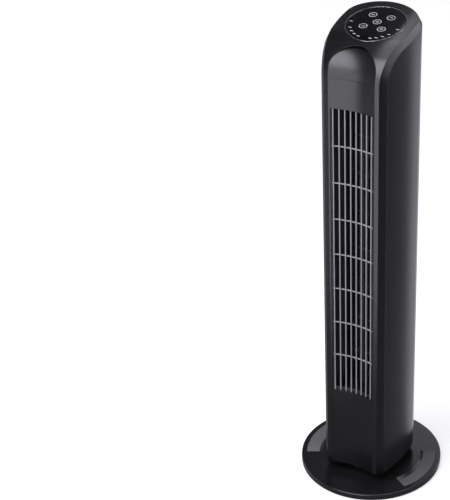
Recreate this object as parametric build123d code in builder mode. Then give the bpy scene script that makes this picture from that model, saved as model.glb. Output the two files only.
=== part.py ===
"""Oscillating tower fan: assembly of separate pieces in one frame.

Frame: origin on the floor under the centre of the round base, +Z up, front towards -Y.
All sizes are in millimetres.
"""
from build123d import *
from math import atan2, cos, degrees, pi, radians, sin, sqrt, tan
import os

os.makedirs("parts", exist_ok=True)

# ---------------------------------------------------------------- driving dimensions
HEIGHT = 915.3          # floor to the crest at the back of the cap
TOWER_Z = 31.0          # bottom edge of the tower
FRONT_Y = -84.0         # front plane of the two strips
BACK_Y = 88.0           # rearmost line of the tower
WALL = 2.5              # moulded housing wall
BEVEL_FRONT = 6.0       # bevel width on the front face and cap
BEVEL_SIDE = 12.0       # bevel width on the side panels
SKIRT = 12.9            # front housing reaches this far back: the seam line
NOSE_R = 67.8           # rounding from the front face to the sloping cap
SLOPE = 10.0            # cap slope in degrees, rising to the back

SIDE_R = 284.0          # radius of each side panel in plan
SIDE_C = (-211.2, 8.0)  # its centre, for the right-hand side
REAR_R = 50.0           # rear corner radius in plan
SIDE_JOIN = 5.0         # angle where side panel meets rear corner

CHANNEL_HALF = 43.6     # half width of the hollow channel down the front
CHANNEL_DEPTH = 7.7     # its depth on the centre line
CHANNEL_STEP = 0.6      # crisp step down from the strips along its edges
CREASE_Z = 830.0        # fine groove where the channel turns into the scoop
CREASE = (0.6, 0.5)     # its height and depth
SCOOP_FADE = 5.0        # the scoop curls on a larger radius, so it gets shallower upwards
ARCH_Z = 850.0          # springing height of the arch that ends the channel
ARCH_RISE = 34.0        # rise of that arch, flatter than a half circle

OPENING_HALF = 40.7     # air outlet, half width
OPENING_Z = (200.0, 775.0)
ROWS_Z = (207.0, 775.0)  # the grille rows; a sill closes the rest of the opening
CELLS = 8               # rows of the outlet grille
BAR_X = (5.2, 15.6, 26.0, 36.4)
BAR_R = 1.2
RAIL_TALL = 1.3

BASE_R = 136.0
BASE_TOP = 13.0
FOOT_Z = 1.5            # underside of the base above the floor

AXIS_Y = 8.0            # impeller axis, behind the swivel axis
IMPELLER_R = 41.0
IMPELLER_Z = (188.0, 784.0)
BLADES = 32

GEAR_TEETH = 48
PINION_TEETH = 16
MODULE = 1.25
GEAR_Z = (38.0, 45.0)
GEAR_DISTANCE = MODULE * (GEAR_TEETH + PINION_TEETH) / 2

KEY_R = 7.45
KEY_HOLE_R = 7.75
KEY_SPREAD = (16.9, 19.3)
LED_OVAL = (44.2, 51.9)  # indicators sit on the lower half of this oval
LED_ANGLES = (14.4, 27.0, 40.2, 54.4, 77.4)

# ---------------------------------------------------------------- derived geometry
NOSE_Y = FRONT_Y + NOSE_R
SLOPE_Y = NOSE_Y - NOSE_R * sin(radians(SLOPE))
SLOPE_Z = HEIGHT - (BACK_Y - SLOPE_Y) * tan(radians(SLOPE))
NOSE_Z = SLOPE_Z - NOSE_R * cos(radians(SLOPE))

REAR_C = (
    SIDE_C[0] + (SIDE_R - REAR_R) * cos(radians(SIDE_JOIN)),
    SIDE_C[1] + (SIDE_R - REAR_R) * sin(radians(SIDE_JOIN)),
)
BACK_R = (REAR_C[0] ** 2 + (REAR_C[1] - BACK_Y) ** 2 - REAR_R**2) / (
    2 * (BACK_Y - REAR_C[1] - REAR_R)
)
BACK_C = (0.0, BACK_Y - BACK_R)
REAR_JOIN = degrees(atan2(REAR_C[1] - BACK_C[1], REAR_C[0] - BACK_C[0]))

CHANNEL_SAG = CHANNEL_DEPTH - CHANNEL_STEP
CHANNEL_R = (CHANNEL_HALF**2 + CHANNEL_SAG**2) / (2 * CHANNEL_SAG)
CHANNEL_C = FRONT_Y + CHANNEL_DEPTH - CHANNEL_R

# Control panel: a plane on the sloping cap, local x to the right, local y up the slope.
PANEL_Y = 14.2
PANEL_Z = SLOPE_Z + (PANEL_Y - SLOPE_Y) * tan(radians(SLOPE))
PANEL = Plane(
    origin=(0, PANEL_Y, PANEL_Z),
    x_dir=(1, 0, 0),
    z_dir=(0, -sin(radians(SLOPE)), cos(radians(SLOPE))),
)
PANEL_OVAL = (52.0, 55.5)
PANEL_SHIFT = -4.5      # oval centre, down the slope from the middle key
KEY_SPOTS = {
    "key_power": (0.0, 0.0),
    "key_speed": (-KEY_SPREAD[0], -KEY_SPREAD[1]),
    "key_timer": (KEY_SPREAD[0], -KEY_SPREAD[1]),
    "key_mode": (-KEY_SPREAD[0], KEY_SPREAD[1]),
    "key_swing": (KEY_SPREAD[0], KEY_SPREAD[1]),
}
LED_SPOTS = [
    (side * LED_OVAL[0] * sin(radians(a)), -LED_OVAL[1] * cos(radians(a)))
    for a in LED_ANGLES
    for side in (-1, 1)
]


def polar(centre, radius, angle):
    """Point at an angle in degrees on a circle."""
    return (
        centre[0] + radius * cos(radians(angle)),
        centre[1] + radius * sin(radians(angle)),
    )


def channel_y(x, back=0.0):
    """Depth of the hollow front surface at x, moved back by an offset."""
    return CHANNEL_C + sqrt((CHANNEL_R + back) ** 2 - x * x)


def plan(inset=0.0):
    """Horizontal outline of the tower, moved inwards by an inset."""
    y = FRONT_Y + inset
    side_r = SIDE_R - inset
    rear_r = REAR_R - inset
    back_r = BACK_R - inset
    corner = (SIDE_C[0] + sqrt(side_r**2 - (y - SIDE_C[1]) ** 2), y)
    with BuildSketch() as outline:
        with BuildLine():
            Line((0, y), corner)
            ThreePointArc(corner, polar(SIDE_C, side_r, -8), polar(SIDE_C, side_r, SIDE_JOIN))
            ThreePointArc(
                polar(REAR_C, rear_r, SIDE_JOIN),
                polar(REAR_C, rear_r, 35),
                polar(REAR_C, rear_r, REAR_JOIN),
            )
            ThreePointArc(
                polar(BACK_C, back_r, REAR_JOIN),
                polar(BACK_C, back_r, 80),
                (0, BACK_Y - inset),
            )
            mirror(about=Plane.YZ)
        make_face()
    return outline.sketch


def side_profile(inset=0.0):
    """Side view of the tower: straight front, rounded nose, sloping cap."""
    front = FRONT_Y + inset
    centre = (NOSE_Y, NOSE_Z)
    crest = polar(centre, NOSE_R - inset, 90 + SLOPE)
    far = (crest[0] + 200, crest[1] + 200 * tan(radians(SLOPE)))
    with BuildSketch() as outline:
        with BuildLine():
            Line((front, 0), (front, NOSE_Z))
            ThreePointArc((front, NOSE_Z), polar(centre, NOSE_R - inset, 135), crest)
            Polyline(crest, far, (far[0], 0), (front, 0))
        make_face()
    return outline.sketch


def tower_form(inset, bottom):
    """Closed body of the tower shape, moved inwards by an inset."""
    with BuildPart() as form:
        with BuildSketch(Plane.XY.offset(bottom)):
            add(plan(inset))
        extrude(amount=HEIGHT + 40 - bottom)
        with BuildSketch(Plane.YZ):
            add(side_profile(inset))
        extrude(amount=120, both=True, mode=Mode.INTERSECT)
    return form.part


def bevelled_form(inset, bottom, front, side):
    """Tower shape with the bevel that runs up both strips and round the cap."""
    form = tower_form(inset, bottom)
    face = form.faces().filter_by(
        lambda f: f.geom_type == GeomType.PLANE and abs(f.normal_at().Y + 1) < 0.001
    )[0]
    return form.chamfer(front, side, [face.edges().filter_by(Axis.Z)[0]], face=face)


def inner_bevel(wall):
    """Bevel widths inside the tower that leave an even wall behind the outer bevel."""
    reach = 1 / sqrt(1 / BEVEL_FRONT**2 + 1 / BEVEL_SIDE**2)
    front = BEVEL_FRONT * (reach + wall) / reach
    side = BEVEL_SIDE * (reach + wall) / reach
    return front * (1 - wall / side) - wall, side * (1 - wall / front) - wall


def cap_skirt(drop):
    """Everything lower than and behind the front and cap by a fixed drop."""
    with BuildPart() as block:
        with BuildSketch(Plane.YZ):
            add(side_profile(drop))
        extrude(amount=120, both=True)
    return block.part


def channel_core(back):
    """Solid behind the hollow front surface; it curls over above the crease."""
    half = CHANNEL_HALF + 20
    axis_y = NOSE_Y + SCOOP_FADE
    with BuildPart() as core:
        with BuildSketch(Plane.XY.offset(NOSE_Z)) as section:
            with BuildLine():
                ThreePointArc(
                    (-half, channel_y(half, back)),
                    (0, channel_y(0, back)),
                    (half, channel_y(half, back)),
                )
                Polyline(
                    (half, channel_y(half, back)),
                    (half, axis_y),
                    (-half, axis_y),
                    (-half, channel_y(half, back)),
                )
            make_face()
        extrude(amount=-NOSE_Z)
        add(section.sketch)
        revolve(section.sketch, axis=Axis((0, axis_y, NOSE_Z), (-1, 0, 0)), revolution_arc=90)
    return core.part


def arch_block(grow):
    """Arch-topped block through the front, which bounds the channel and scoop."""
    half = CHANNEL_HALF + grow
    with BuildPart() as block:
        with BuildSketch(Plane.XZ.offset(-(FRONT_Y - 6))):
            with Locations((0, ARCH_Z / 2)):
                Rectangle(2 * half, ARCH_Z)
            with Locations((0, ARCH_Z)):
                Ellipse(half, ARCH_RISE + grow)
        extrude(amount=-(NOSE_Y - FRONT_Y + 6))
    return block.part


def panel_oval(grow, up=8.0, down=16.0):
    """Oval post through the cap, square to the panel plane."""
    with BuildPart() as post:
        with BuildSketch(PANEL.offset(-down)):
            with Locations((0, PANEL_SHIFT)):
                Ellipse(PANEL_OVAL[0] + grow, PANEL_OVAL[1] + grow)
        extrude(amount=up + down)
    return post.part


def tooth_outline(teeth, module, backlash, addendum=0.9, dedendum=1.15):
    """Involute gear outline as (radius, angle) pairs round the origin, a tooth on +X."""
    pitch_r = module * teeth / 2
    base_r = pitch_r * cos(radians(20))
    outer_r = pitch_r + addendum * module
    root_r = pitch_r - dedendum * module
    half_pitch = degrees((pi * module / 2 - backlash) / 2 / pitch_r)

    def involute_angle(radius):
        if radius <= base_r:
            return 0.0
        roll = sqrt((radius / base_r) ** 2 - 1)
        return degrees(roll) - degrees(atan2(roll, 1))

    start_r = max(base_r, root_r)
    radii = [start_r + (outer_r - start_r) * k / 4 for k in range(5)]
    flank = [(r, half_pitch + involute_angle(pitch_r) - involute_angle(r)) for r in radii]
    if start_r > root_r + 0.01:
        flank.insert(0, (root_r, flank[0][1]))
    points = []
    for tooth in range(teeth):
        middle = 360.0 * tooth / teeth
        points += [(r, middle - a) for r, a in flank]
        points += [(r, middle + a) for r, a in reversed(flank)]
    return points


def gear(teeth, bore_r, z_range, turn=0.0, backlash=0.16):
    """Spur gear on the Z axis, turned so that a tooth points at an angle."""
    with BuildPart() as wheel:
        with BuildSketch(Plane.XY.offset(z_range[0])):
            with BuildLine():
                Polyline(
                    *[polar((0, 0), r, a + turn) for r, a in tooth_outline(teeth, MODULE, backlash)],
                    close=True,
                )
            make_face()
            Circle(bore_r, mode=Mode.SUBTRACT)
        extrude(amount=z_range[1] - z_range[0])
    return wheel.part


# ================================================================ base
POCKET_START = (-34.0, 146.0)
POCKET_ARC = 61.0
POCKET_OUT_R = 126.3
POCKET_FLOOR_R = 101.6
POCKET_FLOOR_Z = 9.6
POCKET_IN_R = 96.0
PEDESTAL_R = 58.0
PEDESTAL_TOP = 28.0
POST_R = 14.0
POST_TOP = 45.5
GLAND_Z = 7.4
GLAND_R = 3.7
GLAND_BORE_R = 2.6
BASE_SCREWS = [polar((0, 0), 80, a) for a in (45, 135, 225, 315)]
PEDESTAL_SCREWS = [polar((0, 0), 46, a) for a in (90, 210, 330)]


def pocket_plane(angle):
    """Upright plane through the Z axis at an angle, local x outwards."""
    return Plane(
        origin=(0, 0, 0),
        x_dir=(cos(radians(angle)), sin(radians(angle)), 0),
        z_dir=(sin(radians(angle)), -cos(radians(angle)), 0),
    )


# Round base cover: a shallow dish with two ramped hollows and a rolled rim.
with BuildPart() as base_cover:
    with BuildSketch(Plane.XY.offset(FOOT_Z)):
        Circle(BASE_R)
    extrude(amount=BASE_TOP - FOOT_Z)
    fillet(base_cover.edges().filter_by(GeomType.CIRCLE).sort_by(Axis.Z)[-1], 1.6)
    with BuildSketch(Plane.XY.offset(FOOT_Z)):
        Circle(BASE_R - 3)
    extrude(amount=2.5, mode=Mode.SUBTRACT)
    with BuildSketch(Plane.XY.offset(FOOT_Z)):
        Circle(92)
    extrude(amount=BASE_TOP - 2.8 - FOOT_Z, mode=Mode.SUBTRACT)
    with BuildSketch(Plane.XY.offset(FOOT_Z + 2.05)):
        for spot in BASE_SCREWS:
            with Locations(spot):
                Circle(4.5)
    extrude(amount=BASE_TOP - 2 - FOOT_Z - 2.05)
    for start in POCKET_START:
        with BuildSketch(pocket_plane(start)):
            with BuildLine():
                Polyline(
                    (POCKET_OUT_R, BASE_TOP),
                    (POCKET_FLOOR_R, POCKET_FLOOR_Z),
                    (POCKET_IN_R, BASE_TOP),
                    close=True,
                )
            make_face()
        revolve(axis=Axis.Z, revolution_arc=POCKET_ARC, mode=Mode.SUBTRACT)
    with BuildSketch(Plane.XY.offset(0)):
        Circle(15)
        for spot in PEDESTAL_SCREWS:
            with Locations(spot):
                Circle(2.2)
    extrude(amount=BASE_TOP + 1, mode=Mode.SUBTRACT)
    with BuildSketch(Plane.XY.offset(0)):
        for spot in BASE_SCREWS:
            with Locations(spot):
                Circle(1.7)
    extrude(amount=BASE_TOP - 3.5, mode=Mode.SUBTRACT)
    with BuildSketch(Plane.XZ.offset(-(BASE_R - 14))):
        with Locations((0, GLAND_Z)):
            Circle(GLAND_R + 0.1)
    extrude(amount=-20, mode=Mode.SUBTRACT)
    with BuildSketch(Plane.XZ.offset(-85)):
        with Locations((0, GLAND_Z)):
            Circle(GLAND_BORE_R)
    extrude(amount=-50, mode=Mode.SUBTRACT)
base_cover.part.label = "base_cover"
export_step(base_cover.part, "parts/base_cover.step")

# Flat underside plate inside the rim of the cover.
with BuildPart() as base_plate:
    with BuildSketch(Plane.XY.offset(FOOT_Z)):
        Circle(BASE_R - 3.4)
        for spot in BASE_SCREWS:
            with Locations(spot):
                Circle(1.9, mode=Mode.SUBTRACT)
    extrude(amount=2.0)
    with BuildSketch(Plane.XY.offset(FOOT_Z)):
        for spot in BASE_SCREWS:
            with Locations(spot):
                Circle(3.6)
    extrude(amount=1.0, mode=Mode.SUBTRACT)
base_plate.part.label = "base_plate"
export_step(base_plate.part, "parts/base_plate.step")

# Steel ring on the plate that keeps the tall fan from tipping.
with BuildPart() as base_weight:
    with BuildSketch(Plane.XY.offset(FOOT_Z + 2.1)):
        Circle(73)
        Circle(20, mode=Mode.SUBTRACT)
        for spot in PEDESTAL_SCREWS:
            with Locations(spot):
                Circle(4.5, mode=Mode.SUBTRACT)
    extrude(amount=3.2)
base_weight.part.label = "base_weight"
export_step(base_weight.part, "parts/base_weight.step")

# Rubber ring that the fan stands on.
with BuildPart() as foot_ring:
    with BuildSketch():
        Circle(122)
        Circle(112, mode=Mode.SUBTRACT)
    extrude(amount=FOOT_Z)
    chamfer(foot_ring.edges().filter_by(GeomType.CIRCLE).sort_by(Axis.Z)[:2], 0.4)
foot_ring.part.label = "foot_ring"
export_step(foot_ring.part, "parts/foot_ring.step")

# Screws from below that hold the plate and cover together.
with BuildPart() as base_screws:
    for spot in BASE_SCREWS:
        with BuildSketch(Plane.XY.offset(FOOT_Z + 0.05)):
            with Locations(spot):
                Circle(3.3)
        extrude(amount=0.9)
        with BuildSketch(Plane.XY.offset(FOOT_Z + 0.05)):
            with Locations(spot):
                Circle(1.65)
        extrude(amount=7.5)
base_screws.part.label = "base_screws"
export_step(base_screws.part, "parts/base_screws.step")

# Strain relief where the supply cord leaves the back of the base.
with BuildPart() as cord_gland:
    with BuildSketch(Plane.XZ.offset(-(BASE_R - 13))):
        with Locations((0, GLAND_Z)):
            Circle(GLAND_R)
            Circle(GLAND_BORE_R, mode=Mode.SUBTRACT)
    extrude(amount=-(13 - 0.6))
cord_gland.part.label = "cord_gland"
export_step(cord_gland.part, "parts/cord_gland.step")

# Fixed pedestal: round foot on the base and a post that the tower turns on.
with BuildPart() as pedestal:
    with BuildSketch(Plane.XY.offset(BASE_TOP)):
        Circle(PEDESTAL_R)
    extrude(amount=PEDESTAL_TOP - BASE_TOP)
    fillet(pedestal.edges().filter_by(GeomType.CIRCLE).sort_by(Axis.Z)[-1], 1.5)
    with BuildSketch(Plane.XY.offset(BASE_TOP)):
        Circle(POST_R)
    extrude(amount=GEAR_Z[0] - BASE_TOP)
    with BuildSketch(Plane.XY.offset(GEAR_Z[0])):
        Circle(9)
    extrude(amount=POST_TOP - GEAR_Z[0])
    with BuildSketch(Plane.XY.offset(BASE_TOP)):
        Circle(5.0)
    extrude(amount=18, mode=Mode.SUBTRACT)
    with BuildSketch(Plane.XY.offset(BASE_TOP)):
        for spot in PEDESTAL_SCREWS:
            with Locations(spot):
                Circle(1.7)
    extrude(amount=10, mode=Mode.SUBTRACT)
    with BuildSketch(Plane.XY.offset(POST_TOP - 9)):
        Circle(1.7)
    extrude(amount=10, mode=Mode.SUBTRACT)
pedestal.part.label = "pedestal"
export_step(pedestal.part, "parts/pedestal.step")

# Screws through the cover into the pedestal.
with BuildPart() as pedestal_screws:
    for spot in PEDESTAL_SCREWS:
        with BuildSketch(Plane.XY.offset(BASE_TOP - 2.8 - 2.1)):
            with Locations(spot):
                Circle(3.4)
        extrude(amount=2.0)
        with BuildSketch(Plane.XY.offset(BASE_TOP - 2.8 - 2.1)):
            with Locations(spot):
                Circle(1.65)
        extrude(amount=12)
pedestal_screws.part.label = "pedestal_screws"
export_step(pedestal_screws.part, "parts/pedestal_screws.step")

# Low-friction ring between the pedestal and the turning tower.
with BuildPart() as glide_ring:
    with BuildSketch(Plane.XY.offset(PEDESTAL_TOP)):
        Circle(54)
        Circle(40, mode=Mode.SUBTRACT)
    extrude(amount=TOWER_Z + 0.5 - 0.06 - PEDESTAL_TOP)
glide_ring.part.label = "glide_ring"
export_step(glide_ring.part, "parts/glide_ring.step")

# Fixed gear keyed on the post; the swing pinion walks round it.
with BuildPart() as fixed_gear:
    add(gear(GEAR_TEETH, 9.05, GEAR_Z, turn=90 + 180 / GEAR_TEETH))
fixed_gear.part.label = "fixed_gear"
export_step(fixed_gear.part, "parts/fixed_gear.step")

# Washer-headed screw that holds the gear down on the post.
with BuildPart() as gear_screw:
    with BuildSketch(Plane.XY.offset(POST_TOP)):
        Circle(11.5)
    extrude(amount=1.4)
    with BuildSketch(Plane.XY.offset(POST_TOP + 1.4)):
        Circle(4.2)
    extrude(amount=2.2)
    fillet(gear_screw.edges().filter_by(GeomType.CIRCLE).sort_by(Axis.Z)[-1], 0.8)
    with BuildSketch(Plane.XY.offset(POST_TOP - 8)):
        Circle(1.65)
    extrude(amount=8)
gear_screw.part.label = "gear_screw"
export_step(gear_screw.part, "parts/gear_screw.step")

# ================================================================ tower housings
outer_form = bevelled_form(0.0, TOWER_Z, BEVEL_FRONT, BEVEL_SIDE)
inner_form = bevelled_form(WALL, 0.0, *inner_bevel(WALL))
hollow_form = inner_form - (arch_block(WALL) - channel_core(WALL))

SCREW_X = 30.0
SCREW_Z = (184.0, 791.5)
SCREW_WALL_Y = BACK_C[1] + sqrt(BACK_R**2 - SCREW_X**2)
INTAKE_HALF = 45.0
INTAKE_Z = (196.0, 780.0)
SEAM = 0.15


def back_window(half, z_range, depth=40.0):
    """Rounded block through the back wall."""
    with BuildPart() as block:
        with BuildSketch(Plane.XZ.offset(-(BACK_Y + 5))):
            with Locations((0, sum(z_range) / 2)):
                RectangleRounded(2 * half, z_range[1] - z_range[0], 6)
        extrude(amount=depth)
    return block.part


inner_clear = bevelled_form(WALL + 0.4, 0.0, *inner_bevel(WALL + 0.4))


def inside_plate(bottom, thick, front_clear):
    """Level plate that fills the inside of the tower, up to a gap behind the front."""
    with BuildPart() as plate:
        with BuildSketch(Plane.XY.offset(bottom)):
            Rectangle(200, 200)
            with BuildLine():
                ThreePointArc(
                    (-70, channel_y(70, front_clear)),
                    (0, channel_y(0, front_clear)),
                    (70, channel_y(70, front_clear)),
                )
                Polyline(
                    (70, channel_y(70, front_clear)),
                    (70, -110),
                    (-70, -110),
                    (-70, channel_y(70, front_clear)),
                )
            make_face(mode=Mode.SUBTRACT)
        extrude(amount=thick)
        add(inner_clear, mode=Mode.INTERSECT)
    return plate.part


# Level groove cut into the hollow front.
with BuildPart() as crease_groove:
    with BuildSketch(Plane.XY.offset(CREASE_Z)):
        Rectangle(200, 200)
    extrude(amount=CREASE[0])
    add(arch_block(0.0) - channel_core(CREASE[1]), mode=Mode.INTERSECT)

# Front housing: strips, bevel, hollow lower panel, scoop and sloping cap in one moulding.
with BuildPart() as front_housing:
    add(outer_form)
    add(arch_block(0.0) - channel_core(0.0), mode=Mode.SUBTRACT)
    add(crease_groove.part, mode=Mode.SUBTRACT)
    add(hollow_form, mode=Mode.SUBTRACT)
    add(cap_skirt(SKIRT), mode=Mode.SUBTRACT)
    with BuildSketch(Plane.XZ.offset(-(FRONT_Y - 6))):
        with Locations((0, sum(OPENING_Z) / 2)):
            Rectangle(2 * OPENING_HALF, OPENING_Z[1] - OPENING_Z[0])
    extrude(amount=-30, mode=Mode.SUBTRACT)
    add(panel_oval(0.1), mode=Mode.SUBTRACT)
front_housing.part.label = "front_housing"
export_step(front_housing.part, "parts/front_housing.step")

# Rear housing: side panels, rounded corners and back, with the intake window.
with BuildPart() as rear_housing:
    add(outer_form)
    add(inner_form, mode=Mode.SUBTRACT)
    add(cap_skirt(SKIRT + SEAM), mode=Mode.INTERSECT)
    add(back_window(INTAKE_HALF, INTAKE_Z), mode=Mode.SUBTRACT)
    for side in (-1, 1):
        for level in SCREW_Z:
            with BuildSketch(Plane.XZ.offset(-(SCREW_WALL_Y - 1.3))):
                with Locations((side * SCREW_X, level)):
                    Circle(3.6)
            extrude(amount=-12, mode=Mode.SUBTRACT)
            with BuildSketch(Plane.XZ.offset(-(SCREW_WALL_Y - 8))):
                with Locations((side * SCREW_X, level)):
                    Circle(1.9)
            extrude(amount=-12, mode=Mode.SUBTRACT)
rear_housing.part.label = "rear_housing"
export_step(rear_housing.part, "parts/rear_housing.step")

# Slotted intake panel that fills the window in the back.
SLOT_PITCH = 8.0
SLOT_ROWS = 70
with BuildPart() as intake_grille:
    add(tower_form(0.0, TOWER_Z) - tower_form(WALL, 0.0))
    add(back_window(INTAKE_HALF - 0.15, (INTAKE_Z[0] + 0.15, INTAKE_Z[1] - 0.15)), mode=Mode.INTERSECT)
    with BuildSketch(Plane.XZ.offset(-(BACK_Y + 5))):
        with Locations((0, sum(INTAKE_Z) / 2)):
            with GridLocations(40, SLOT_PITCH, 2, SLOT_ROWS):
                SlotOverall(34, 4.0)
    extrude(amount=40, mode=Mode.SUBTRACT)
intake_grille.part.label = "intake_grille"
export_step(intake_grille.part, "parts/intake_grille.step")

# Bright upright rods across the outlet; each follows the hollow front.
with BuildPart() as grille_bars:
    for side in (-1, 1):
        for x in BAR_X:
            with BuildSketch(Plane.XY.offset(OPENING_Z[0] + 0.5)):
                with Locations((side * x, channel_y(x, BAR_R + 0.15))):
                    Circle(BAR_R)
            extrude(amount=OPENING_Z[1] - OPENING_Z[0] - 1)
grille_bars.part.label = "grille_bars"
export_step(grille_bars.part, "parts/grille_bars.step")

# Frame behind the rods with the level rails between the rows.
CELL = (ROWS_Z[1] - ROWS_Z[0]) / CELLS
FRAME_HALF = 43.0
FRAME_FRONT = 2 * BAR_R + 0.2
FRAME_BACK = FRAME_FRONT + 2.4
with BuildPart() as grille_frame:
    with BuildSketch(Plane.XY.offset(OPENING_Z[0] - 5)):
        with BuildLine():
            ThreePointArc(
                (-FRAME_HALF, channel_y(FRAME_HALF, FRAME_FRONT)),
                (0, channel_y(0, FRAME_FRONT)),
                (FRAME_HALF, channel_y(FRAME_HALF, FRAME_FRONT)),
            )
            Line(
                (FRAME_HALF, channel_y(FRAME_HALF, FRAME_FRONT)),
                (FRAME_HALF, channel_y(FRAME_HALF, FRAME_BACK)),
            )
            ThreePointArc(
                (FRAME_HALF, channel_y(FRAME_HALF, FRAME_BACK)),
                (0, channel_y(0, FRAME_BACK)),
                (-FRAME_HALF, channel_y(FRAME_HALF, FRAME_BACK)),
            )
            Line(
                (-FRAME_HALF, channel_y(FRAME_HALF, FRAME_BACK)),
                (-FRAME_HALF, channel_y(FRAME_HALF, FRAME_FRONT)),
            )
        make_face()
    extrude(amount=OPENING_Z[1] - OPENING_Z[0] + 10)
    with BuildSketch(Plane.XZ.offset(-(FRONT_Y - 6))):
        with Locations((0, sum(ROWS_Z) / 2)):
            with GridLocations(0, CELL, 1, CELLS):
                Rectangle(2 * OPENING_HALF - 2.4, CELL - RAIL_TALL)
    extrude(amount=-40, mode=Mode.SUBTRACT)
grille_frame.part.label = "grille_frame"
export_step(grille_frame.part, "parts/grille_frame.step")

# Tower floor with the sleeve that runs on the pedestal post.
FLOOR_Z = TOWER_Z + 0.5
with BuildPart() as tower_floor:
    add(inside_plate(FLOOR_Z, 3.0, 3.0))
    with BuildSketch(Plane.XY.offset(FLOOR_Z)):
        Circle(19)
    extrude(amount=6.0)
    with BuildSketch(Plane.XY.offset(FLOOR_Z)):
        Circle(POST_R + 0.05)
    extrude(amount=8, mode=Mode.SUBTRACT)
tower_floor.part.label = "tower_floor"
export_step(tower_floor.part, "parts/tower_floor.step")

# ================================================================ air path
DUCT_LOW = 180.0
DUCT_HIGH = 790.0
PLATE = 3.0
VOLUTE = ((41.5, 44.0), (52.0, 24.0), (56.0, -8.0), (50.5, -42.0), (43.8, -74.0))
CUTOFF = ((-43.8, -74.0), (-41.5, -50.0), (-36.5, -26.0), (-44.0, -20.0), (-54.0, -18.0))


def wall_sides(points, half):
    """Points moved to either side of a line through them, for a wall's two faces."""
    left = []
    right = []
    for index, point in enumerate(points):
        before = points[max(index - 1, 0)]
        after = points[min(index + 1, len(points) - 1)]
        run = (after[0] - before[0], after[1] - before[1])
        size = sqrt(run[0] ** 2 + run[1] ** 2)
        step = (-run[1] / size * half, run[0] / size * half)
        left.append((point[0] + step[0], point[1] + step[1]))
        right.append((point[0] - step[0], point[1] - step[1]))
    return left, right


# Air duct: two end plates joined by the scroll wall and the cut-off wall.
with BuildPart() as air_duct:
    add(inside_plate(DUCT_LOW, PLATE, 6.0))
    add(inside_plate(DUCT_HIGH, PLATE, 6.0))
    for points in (VOLUTE, CUTOFF):
        left_side, right_side = wall_sides(points, 1.0)
        with BuildSketch(Plane.XY.offset(DUCT_LOW + 1)):
            with BuildLine():
                Spline(*left_side)
                Line(left_side[-1], right_side[-1])
                Spline(*right_side)
                Line(right_side[0], left_side[0])
            make_face()
        extrude(amount=DUCT_HIGH - DUCT_LOW)
    for side in (-1, 1):
        for level in SCREW_Z:
            with BuildSketch(Plane.XZ.offset(-(SCREW_WALL_Y - 16))):
                with Locations((side * SCREW_X, level)):
                    Circle(4.2)
            extrude(amount=-11.2)
    for side in (-1, 1):
        for level in SCREW_Z:
            with BuildSketch(Plane.XZ.offset(-(SCREW_WALL_Y - 14))):
                with Locations((side * SCREW_X, level)):
                    Circle(1.65)
            extrude(amount=-14, mode=Mode.SUBTRACT)
    with BuildSketch(Plane.XY.offset(DUCT_LOW - 1)):
        with Locations((0, AXIS_Y)):
            Circle(13)
    extrude(amount=5, mode=Mode.SUBTRACT)
    with BuildSketch(Plane.XY.offset(DUCT_HIGH - 1)):
        with Locations((0, AXIS_Y)):
            Circle(9)
    extrude(amount=5, mode=Mode.SUBTRACT)
air_duct.part.label = "air_duct"
export_step(air_duct.part, "parts/air_duct.step")

# Screws from the back through the rear housing into the duct.
with BuildPart() as housing_screws:
    for side in (-1, 1):
        for level in SCREW_Z:
            with BuildSketch(Plane.XZ.offset(-(SCREW_WALL_Y - 1.28))):
                with Locations((side * SCREW_X, level)):
                    Circle(3.2)
            extrude(amount=-1.1)
            with BuildSketch(Plane.XZ.offset(-(SCREW_WALL_Y - 1.28))):
                with Locations((side * SCREW_X, level)):
                    Circle(1.6)
            extrude(amount=12)
housing_screws.part.label = "housing_screws"
export_step(housing_screws.part, "parts/housing_screws.step")

# Bridge above the duct that holds the impeller's upper bearing.
BRIDGE_Z = DUCT_HIGH + PLATE + 0.05
with BuildPart() as bearing_bridge:
    with BuildSketch(Plane.XY.offset(BRIDGE_Z)):
        with Locations((0, AXIS_Y)):
            SlotOverall(84, 24)
    extrude(amount=2.0)
    with BuildSketch(Plane.XY.offset(BRIDGE_Z)):
        with Locations((0, AXIS_Y)):
            Circle(11.5)
    extrude(amount=9.0)
    with BuildSketch(Plane.XY.offset(BRIDGE_Z)):
        with Locations((0, AXIS_Y)):
            Circle(7.05)
    extrude(amount=7.0, mode=Mode.SUBTRACT)
bearing_bridge.part.label = "bearing_bridge"
export_step(bearing_bridge.part, "parts/bearing_bridge.step")

# Plain bush in the bridge.
with BuildPart() as upper_bush:
    with BuildSketch(Plane.XY.offset(BRIDGE_Z)):
        with Locations((0, AXIS_Y)):
            Circle(7.0)
            Circle(3.05, mode=Mode.SUBTRACT)
    extrude(amount=6.9)
upper_bush.part.label = "upper_bush"
export_step(upper_bush.part, "parts/upper_bush.step")

# ================================================================ impeller
BLADE_IN_R = 33.0
BLADE_THICK = 0.9
RINGS = 9

with BuildSketch() as blade:
    with BuildLine():
        inner_a = polar((0, 0), BLADE_IN_R, 0)
        outer_a = polar((0, 0), IMPELLER_R - 0.2, 9.5)
        outer_b = polar((0, 0), IMPELLER_R - 0.2, 9.5 + degrees(BLADE_THICK / IMPELLER_R))
        inner_b = polar((0, 0), BLADE_IN_R, degrees(BLADE_THICK / BLADE_IN_R))
        ThreePointArc(inner_a, polar((0, 0), 37.4, 3.2), outer_a)
        Line(outer_a, outer_b)
        ThreePointArc(outer_b, polar((0, 0), 37.4, 3.2 + degrees(BLADE_THICK / 37.4)), inner_b)
        Line(inner_b, inner_a)
    make_face()

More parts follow.
